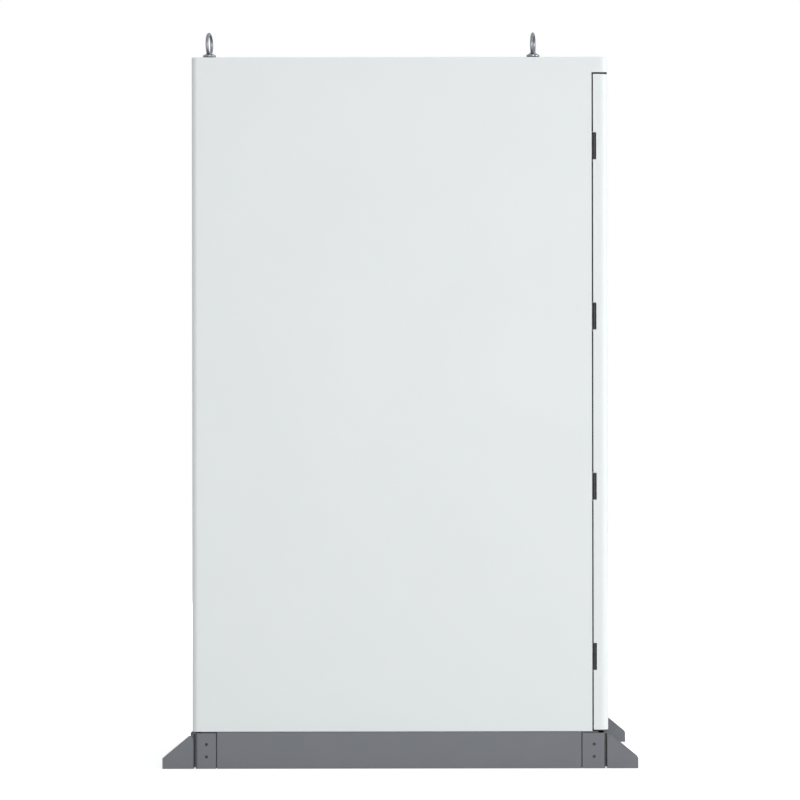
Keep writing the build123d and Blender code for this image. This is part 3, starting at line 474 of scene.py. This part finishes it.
# out from the terminal's middle and up from the lower one, in metres
link_route = ((0.012, 0), (0.046, 0), (0.068, 0.004), (0.075, 0.030), (0.0752, 0.096),
              (0.075, 0.162), (0.068, 0.188), (0.046, module_pitch), (0.012, module_pitch))


def link_cable(side):
    """The bare cable on the right or the left, its lower end at the height nothing."""
    curve = bpy.data.curves.new("link_line", "CURVE")
    curve.dimensions = "3D"
    line = curve.splines.new("NURBS")
    line.points.add(len(link_route) - 1)
    for point, (out, up) in zip(line.points, link_route):
        point.co = (side * (terminal_x + out), link_y, up, 1)
    line.order_u = 4
    line.use_endpoint_u = True
    line.resolution_u = 8
    curve.bevel_depth = cable_radius
    curve.bevel_resolution = 5
    curve.use_fill_caps = True
    cable = bpy.data.objects.new("link_cable", curve)
    bpy.context.scene.collection.objects.link(cable)
    select([cable])
    bpy.ops.object.convert(target="MESH")
    cable = bpy.context.object
    pick(cable, every_face)
    bpy.ops.mesh.remove_doubles(threshold=1e-6)
    select([cable])
    bpy.ops.object.shade_smooth_by_angle(angle=smooth_below)
    return cable


def link_boot(side, up):
    """A boot over one terminal, stepped down to the cable."""
    inner, outer = sorted((side * (terminal_x - boot_behind), side * (terminal_x + boot_before)))
    boot = block("boot", (inner, link_low[1], up - boot_half), (outer, link_high[1], up + boot_half))
    step(boot, (side, 0, 0), narrower=0.0022, longer=0.004)
    step(boot, (side, 0, 0), narrower=0.0006, longer=0.009)
    soften(boot, width=0.0014, angle=25)
    return boot


def link_side(side, first_link, name, stands_for=()):
    """Every second link, all of them on the right or all on the left."""
    parts = [link_cable(side)] + [link_boot(side, up) for up in (0, module_pitch)]
    link = join("link", [clad(piece, sheath) for piece in parts])
    heights = [(0, 0, first_terminal + i * module_pitch) for i in range(first_link, link_count, 2)]
    dress(repeat(link, heights, name), "cabinet", stands_for=stands_for)


link_side(1, 0, "links_right", stands_for=["series_links"])
link_side(-1, 1, "links_left")

# ---- cross-head screws for the fascias and the rear panel ----
# shares of the head's radius
cross_reach = 0.62
cross_width = 0.13
# the rounding's share of the head's height
dome = 0.6
# metres
cross_depth = 0.0002
cross_lift = 0.00005


def screw_head(name, radius, height, direction):
    """A domed head with a black cross, its seat at the origin, looking along plus or minus Y."""
    head = drum(name, (0, direction * height / 2, 0), radius, height, "Y", sides=24)
    soften(head, height * dome)
    top = direction * height
    near, far = sorted((top, top - direction * cross_depth))
    pieces = [clad(head, zinc)]
    for wide, tall in ((cross_reach, cross_width), (cross_width, cross_reach)):
        bar = block("recess", (-wide * radius, near, -tall * radius),
                    (wide * radius, far + cross_lift, tall * radius))
        soften(bar, width=0.0001, segments=1)
        pieces.append(clad(bar, black_coat))
    return join(name, pieces)


fascia_low, fascia_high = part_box("module_fascias")
control_low, control_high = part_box("control_fascia")
fascia_y = fascia_low[1]
module_rise = 0.168
module_starts = [fascia_low[2] + i * module_pitch for i in range(link_count + 1)]
screw_to_side = 0.008
screw_to_edge = 0.012
screw_x = fascia_high[0] - screw_to_side
fascia_rows = [z + up for z in module_starts for up in (screw_to_edge, module_rise - screw_to_edge)]
fascia_rows += [control_low[2] + screw_to_edge, control_high[2] - screw_to_edge]
fascia_spots = [(sx * screw_x, fascia_y, z) for z in fascia_rows for sx in left_and_right]
fascia_screw = screw_head("fascia_screw", radius=0.0045, height=0.0022, direction=-1)
dress(repeat(fascia_screw, fascia_spots, "fascia_screws"), "cabinet")

rear_low, rear_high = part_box("rear_panel")
rear_screw_to_side = 0.012
rear_screw_to_edge = 0.02
rear_column_start = 0.06
rear_column_pitch = 0.2222
rear_column_count = 9
rear_row_places = (-0.2, 0, 0.2)
rear_columns = [(sx * (rear_high[0] - rear_screw_to_side), rear_high[1],
                 rear_low[2] + rear_column_start + i * rear_column_pitch)
                for sx in left_and_right for i in range(rear_column_count)]
rear_rows = [(x, rear_high[1], z) for x in rear_row_places
             for z in (rear_low[2] + rear_screw_to_edge, rear_high[2] - rear_screw_to_edge)]
rear_screw = screw_head("rear_screw", radius=0.0065, height=0.0032, direction=1)
dress(repeat(rear_screw, rear_columns + rear_rows, "rear_panel_screws"), "cabinet")

# ---- module fronts: a pair of data sockets and two status lenses on each ----
fitting_height = 0.022
ports_x = -0.075
lens_places = (0.070, 0.084)
port_half_width = 0.017
port_half_height = 0.0075
port_depth = 0.0045
socket_half_pitch = 0.0082
socket_half_width = 0.0062
socket_half_height = 0.005
socket_proud = 0.0004
socket_sunk = 0.0001
port = block("data_ports", (-port_half_width, -port_depth, -port_half_height),
             (port_half_width, 0.0, port_half_height))
soften(port, width=0.0008, segments=2)
port_pieces = [clad(port, black_plastic)]
for x in (-socket_half_pitch, socket_half_pitch):
    socket = block("socket", (x - socket_half_width, -port_depth - socket_proud, -socket_half_height),
                   (x + socket_half_width, -port_depth + socket_sunk, socket_half_height))
    step(socket, doorwards, narrower=0.0009, longer=-0.0004)
    soften(socket, width=0.0001, segments=1)
    port_pieces.append(clad(socket, aluminium))
port_spots = [(ports_x, fascia_y, z + fitting_height) for z in module_starts]
dress(repeat(join("module_port", port_pieces), port_spots, "module_ports"), "cabinet")

lens_radius = 0.0032
lens_height = 0.0024
lens = drum("status_lens", (0, -lens_height / 2, 0), lens_radius, lens_height, "Y", sides=24)
step(lens, doorwards, narrower=0.0010, longer=0.0005)
soften(lens, width=0.0004, segments=2, angle=20)
lens_spots = [(x, fascia_y, z + fitting_height) for z in module_starts for x in lens_places]
dress(repeat(clad(lens, green_plastic), lens_spots, "status_lenses"), "cabinet")

# ---- control unit: display with a bezel, isolator plate, button collar, three lamps ----
control_middle = (control_low[2] + control_high[2]) / 2
bezel_left = 0.195
bezel_right = 0.291
bezel_bottom = control_middle - 0.030
bezel_top = control_middle + 0.034
bezel_depth = 0.004
glass_inset = 0.0065
glass_front = 0.0031
glass_back = 0.0022
bezel = block("display_bezel", (bezel_left, fascia_y - bezel_depth, bezel_bottom),
              (bezel_right, fascia_y, bezel_top))
step(bezel, doorwards, narrower=0.006)
step(bezel, doorwards, narrower=0.0008, longer=-0.0016)
soften(bezel, width=0.0007, segments=2)
dress(bezel, "cabinet", black_plastic)
window = block(
    "display_glass", (bezel_left + glass_inset, fascia_y - glass_front, bezel_bottom + glass_inset),
    (bezel_right - glass_inset, fascia_y - glass_back, bezel_top - glass_inset))
step(window, doorwards, narrower=0.004)
soften(window, width=0.0002, segments=1)
dress(window, "cabinet", display_glass)

knob_low, knob_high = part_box("isolator_knob")
plate_radius = 0.040
plate_depth = 0.0025
plate = drum("isolator_plate",
             ((knob_low[0] + knob_high[0]) / 2, fascia_y - plate_depth / 2, control_middle),
             plate_radius, plate_depth, "Y", sides=64)
step(plate, doorwards, narrower=0.0035)
step(plate, doorwards, narrower=0.0006, longer=-0.0006)
soften(plate, width=0.0003, segments=2)
dress(plate, "cabinet", yellow_plastic)

button_low, button_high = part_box("start_button")
collar_ring_radius = 0.0118
collar_wire = 0.0024
collar_to_fascia = 0.0118
collar = ring("button_collar",
              ((button_low[0] + button_high[0]) / 2, fascia_y - collar_to_fascia,
               (button_low[2] + button_high[2]) / 2),
              collar_ring_radius, collar_wire, turn_to["Y"], around=48, section=12)
dress(collar, "cabinet", zinc)

pilot_radius = 0.0045
pilot_height = 0.0044
pilot_below_edge = 0.018
pilot_places = (0.135, 0.150, 0.165)
pilot = drum("pilot_lamp", (0, -pilot_height / 2, 0), pilot_radius, pilot_height, "Y", sides=24)
step(pilot, doorwards, narrower=0.0014, longer=0.0007)
soften(pilot, width=0.0006, segments=2, angle=20)
pilot_spots = [(x, fascia_y, control_high[2] - pilot_below_edge) for x in pilot_places]
dress(repeat(clad(pilot, opal), pilot_spots, "pilot_lamps"), "cabinet")

# ---- lock: a key cylinder with its keyway, above the lever ----
base_low, base_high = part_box("handle_base")
base_x = (base_low[0] + base_high[0]) / 2
base_y = base_low[1]
key_below_edge = 0.014
key_z = base_high[2] - key_below_edge
barrel_radius = 0.0078
barrel_length = 0.0032
keyway_half_width = 0.0009
keyway_half_height = 0.0045
keyway_front = 0.0027
keyway_back = 0.0020
barrel = drum("key_barrel", (base_x, base_y - barrel_length / 2, key_z), barrel_radius, barrel_length, "Y",
              sides=40)
step(barrel, doorwards, narrower=0.0015)
step(barrel, doorwards, narrower=0.0004, longer=-0.0008)
soften(barrel, width=0.0003, segments=2)
keyway = block("keyway", (base_x - keyway_half_width, base_y - keyway_front, key_z - keyway_half_height),
               (base_x + keyway_half_width, base_y - keyway_back, key_z + keyway_half_height))
soften(keyway, width=0.0002, segments=1)
dress(join("key_cylinder", [clad(barrel, zinc), clad(keyway, black_coat)]), "door")

# ---- service lamp: end caps and a rocker switch ----
lamp_low, lamp_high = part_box("lamp")
cap_over = 0.001
cap_inner = 0.012
cap_outer = 0.004
fittings = []
for sx in left_and_right:
    lamp_end = sx * lamp_high[0]
    inner, outer = sorted((lamp_end - sx * cap_inner, lamp_end + sx * cap_outer))
    cap = block("lamp_cap", (inner, lamp_low[1] - cap_over, lamp_low[2] - cap_over),
                (outer, lamp_high[1] + cap_over, lamp_high[2]))
    step(cap, (sx, 0, 0), narrower=0.003, longer=0.001)
    soften(cap, width=0.0015)
    fittings.append(cap)
rocker_left = 0.112
rocker_right = 0.130
rocker_margin = 0.006
rocker_proud = 0.0032
rocker_sunk = 0.001
rocker = block("lamp_rocker", (rocker_left, lamp_low[1] + rocker_margin, lamp_low[2] - rocker_proud),
               (rocker_right, lamp_high[1] - rocker_margin, lamp_low[2] + rocker_sunk))
step(rocker, downwards, narrower=0.0025)
step(rocker, downwards, narrower=0.0005, longer=-0.0012)
soften(rocker, width=0.0004, segments=2)
fittings.append(rocker)
dress(join("lamp_fittings", [clad(piece, grey_plastic) for piece in fittings]), "cabinet")

# ---- cooling coils: an upper and a lower stack of aluminium fins on copper tubes ----
coil_low, coil_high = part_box("cooler_coils")
coil_length = coil_high[0] - coil_low[0]
coil_depth_middle = (coil_low[1] + coil_high[1]) / 2
coil_middle = (coil_low[2] + coil_high[2]) / 2
coil_half_gap = 0.020
fin_pitch = 0.005
fin_thickness = 0.0006
tube_radius = 0.0048
tube_short = 0.002
first_tube = 0.03
tube_pitch = 0.045
tube_count = 7
tube_row_offset = 0.013
fin_places = [(i * fin_pitch, 0, 0) for i in range(int(coil_length / fin_pitch) + 1)]
fins, tubes = [], []
for low, high in ((coil_low[2], coil_middle - coil_half_gap), (coil_middle + coil_half_gap, coil_high[2])):
    fin = block("fin", (coil_low[0], coil_low[1], low), (coil_low[0] + fin_thickness, coil_high[1], high))
    fins.append(repeat(fin, fin_places, "fins"))
    tube = drum("tube", (0, 0, 0), tube_radius, coil_length - tube_short, "X", sides=16)
    step(tube, (1, 0, 0), narrower=0.0006)
    tube_places = [(0, coil_depth_middle + dy, low + first_tube + i * tube_pitch)
                   for dy in (-tube_row_offset, tube_row_offset) for i in range(tube_count)]
    tubes.append(repeat(tube, tube_places, "tubes"))
dress(join("coil_fins", fins), "door", aluminium, stands_for=["cooler_coils"])
dress(join("coil_tubes", tubes), "door", copper)

# ---- painted shade in the plinth's side holes: black plugs behind the holes that stand in for the shadow inside them ----
corner_low, corner_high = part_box("plinth_corners")
shade_plug_radius = 0.0041
shade_plug_length = 0.0030
shade_plug_depth = 0.0022
hole_y = 0.545
hole_heights = (0.0335, 0.0685)
shade_plugs = []
for sx, face_x, name in ((-1, corner_low[0], "nuts_left"), (1, corner_high[0], "nuts_right")):
    # a black plug in each hole: painted shade for the shadow inside the hole
    shade_plug = drum("hole_shade_plug", (-sx * shade_plug_depth, 0, 0), shade_plug_radius, shade_plug_length, "X", sides=24)
    step(shade_plug, (sx, 0, 0), narrower=0.0010)
    step(shade_plug, (sx, 0, 0), narrower=0.0003, longer=-0.0024)
    soften(shade_plug, width=0.0002, segments=1)
    shade_plugs.append(repeat(shade_plug, [(face_x, y, z) for y in (-hole_y, hole_y) for z in hole_heights], name))
dress(join("plinth_hole_shade", shade_plugs), "cabinet", black_coat)

# ---- painted shade in the joints between plinth and brackets: black strips that stand in for the shadow in the joints ----
joint_shade_depth = 0.0032
joint_shade_width = 0.0046
joint_shade_thickness = 0.001
joint_shade_bottom = 0.006
joint_shade_top = 0.0985
joint_shade_past_corner = 0.0030
joint_y = corner_high[1] + joint_shade_past_corner
# a thin black strip in each joint: painted shade for the joint's shadow
joint_shade = block("joint_shade_strip", (0, joint_y - joint_shade_width / 2, joint_shade_bottom),
             (joint_shade_thickness, joint_y + joint_shade_width / 2, joint_shade_top))
soften(joint_shade, width=0.0004, segments=2)
joint_shade_moves = [(x, dy, 0) for x in (corner_low[0] + joint_shade_depth - joint_shade_thickness, corner_high[0] - joint_shade_depth)
              for dy in (0, -2 * joint_y)]
dress(repeat(joint_shade, joint_shade_moves, "joint_shade_strips"), "cabinet", rubber)

# ---- painted shade in the gaps under the header and between the hinges: black strips that stand in for the shadow in the gaps ----
header_low, header_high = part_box("header")
header_shade_margin = 0.0015
header_shade_height = 0.0024
header_shade_front = 0.0022
header_shade_back = 0.006
# a black strip in the gap under the header: painted shade for the gap's shadow
header_shade_strip = block(
    "header_gap_shade", (header_low[0] + header_shade_margin, header_low[1] + header_shade_front, header_low[2] - header_shade_height),
    (header_high[0] - header_shade_margin, header_high[1] - header_shade_back, header_low[2]))
soften(header_shade_strip, width=0.0008, segments=2)
strips = [header_shade_strip]
door_low, door_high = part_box("door_shell")
panel_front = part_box("side_panel_left")[0][1]
# heights of the four hinges' middles, and from one to the end of a strip
knuckle_middles = (0.3145, 0.793, 1.2715, 1.750)
knuckle_to_strip = 0.043
strip_inner = 0.0145
strip_outer = 0.0115
strip_to_door = 0.0002
strip_above_foot = 0.010
strip_below_head = 0.006
strip_ends = [door_low[2] + strip_above_foot]
for z in knuckle_middles:
    strip_ends += [z - knuckle_to_strip, z + knuckle_to_strip]
strip_ends.append(door_high[2] - strip_below_head)
for low, high in zip(strip_ends[::2], strip_ends[1::2]):
    # black strips in the door gap between the hinges: painted shade for the gap's shadow
    strip = block("hinge_gap_shade", (door_low[0] + strip_outer, door_high[1] + strip_to_door, low),
                  (door_low[0] + strip_inner, panel_front, high))
    soften(strip, width=0.0006, segments=2)
    strips.append(strip)
dress(join("gap_shade_strips", strips), "cabinet", rubber)

# ---- floor and sky: plain white where they are seen, and a soft light on the object ----
floor_size = 60
floor_lift = 0.57
sky_at_door = 0.80
sky_at_back = 0.25
sky_seen = 1.0


def seen_rays(tree):
    """One where the eye sees a surface directly, in a reflection or through glass, else nothing."""
    path = add_node(tree, "ShaderNodeLightPath").outputs
    seen = add_node(tree, "ShaderNodeMath", {"operation": "MAXIMUM"},
                    {0: path["Is Camera Ray"], 1: path["Is Glossy Ray"]}).outputs[0]
    return add_node(tree, "ShaderNodeMath", {"operation": "MAXIMUM"},
                    {0: seen, 1: path["Is Transmission Ray"]}).outputs[0]


def seen_white(name, shade):
    """A surface that the eye sees as plain white but that lights the object only softly."""
    material = bpy.data.materials.new(name)
    material.use_nodes = True
    tree = material.node_tree
    tree.nodes.clear()
    seen = seen_rays(tree)
    matt = add_node(tree, "ShaderNodeBsdfDiffuse", inputs={"Color": linear(shade)}).outputs[0]
    glow = add_node(tree, "ShaderNodeEmission", inputs={"Color": white, "Strength": floor_lift}).outputs[0]
    lifted = add_node(tree, "ShaderNodeAddShader", inputs={0: matt, 1: glow}).outputs[0]
    mix = add_node(tree, "ShaderNodeMixShader", inputs={0: seen, 1: matt, 2: lifted}).outputs[0]
    add_node(tree, "ShaderNodeOutputMaterial", inputs={"Surface": mix})
    return material


def light_sky():
    """A white sky whose light is brighter before the door than behind the cabinet."""
    world = bpy.data.worlds.new("studio")
    bpy.context.scene.world = world
    world.use_nodes = True
    tree = world.node_tree
    tree.nodes.clear()
    seen = seen_rays(tree)
    direction = add_node(tree, "ShaderNodeTexCoord").outputs["Generated"]
    to_back = add_node(tree, "ShaderNodeSeparateXYZ", inputs={"Vector": direction}).outputs["Y"]
    unseen = add_node(tree, "ShaderNodeMapRange", inputs={
        "Value": to_back, "From Min": -1.0, "From Max": 1.0,
        "To Min": sky_at_door, "To Max": sky_at_back}).outputs["Result"]
    first, second, result = mix_numbers
    strength = add_node(tree, "ShaderNodeMix", {"data_type": "FLOAT"},
                        {"Factor": seen, first: unseen, second: sky_seen}).outputs[result]
    light = add_node(tree, "ShaderNodeBackground", inputs={"Color": white, "Strength": strength}).outputs[0]
    add_node(tree, "ShaderNodeOutputWorld", inputs={"Surface": light})


light_sky()
deselect()
bpy.ops.mesh.primitive_plane_add(size=floor_size, location=(0, 0, 0))
floor = bpy.context.object
floor.name = "studio_floor"
floor.data.materials.append(seen_white("white_floor", "#F4F4F4"))

# ---- lamps: wide soft ones before the door, on the hinge side and on the far side ----
lamp_aim = Vector((0, 0, 1.0))


def lamp(name, place, size, watts):
    """A square area lamp that looks at the middle of the cabinet."""
    data = bpy.data.lights.new(name, "AREA")
    data.shape = "SQUARE"
    data.size = size
    data.energy = watts
    obj = bpy.data.objects.new(name, data)
    bpy.context.scene.collection.objects.link(obj)
    obj.location = place
    obj.rotation_euler = (lamp_aim - Vector(place)).to_track_quat("-Z", "Y").to_euler()


lamp("front_lamp", place=(-3.2, -11.0, 2.4), size=4.0, watts=430)
lamp("side_lamp", place=(-12.0, -1.5, 1.2), size=5.0, watts=505)
lamp("far_side_lamp", place=(10.0, 0.5, 3.0), size=4.0, watts=230)

bpy.context.scene.view_settings.view_transform = "Standard"
